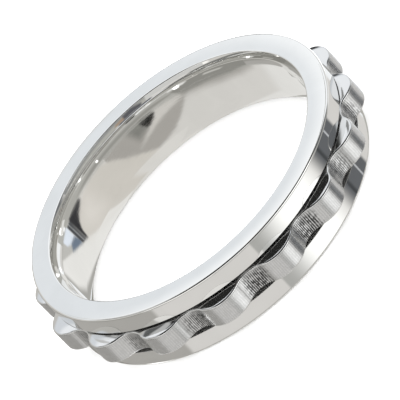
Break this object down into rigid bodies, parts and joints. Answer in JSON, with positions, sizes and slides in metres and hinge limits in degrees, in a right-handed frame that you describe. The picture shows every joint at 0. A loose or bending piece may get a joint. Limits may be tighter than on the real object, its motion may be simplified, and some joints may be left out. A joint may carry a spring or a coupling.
{
  "type": "spinner ring",
  "caption": "Finger ring of polished metal with two plain flanges and a wavy band that turns freely in the channel between them.",
  "frame": {"origin": "on the finger hole's axis at the back face, on which the ring lies", "axes": "+Z along the finger hole's axis, up out of the surface that the ring lies on; +X and +Y in the plane of the ring"},
  "size_m": [0.024, 0.024, 0.0046],
  "materials": {
    "polished_steel": "mirror polished stainless steel",
    "satin_steel": "polished steel with fine cutter lines across the band"
  },
  "bodies": {
    "base": {"base_band": "polished_steel"},
    "spinner": {"spinner_band": "satin_steel"}
  },
  "joints": [
    {"name": "spin", "type": "hinge", "parent": "base", "child": "spinner", "pos_m": [0, 0, 0.0023], "axis": [0, 0, 1], "continuous": true}
  ]
}
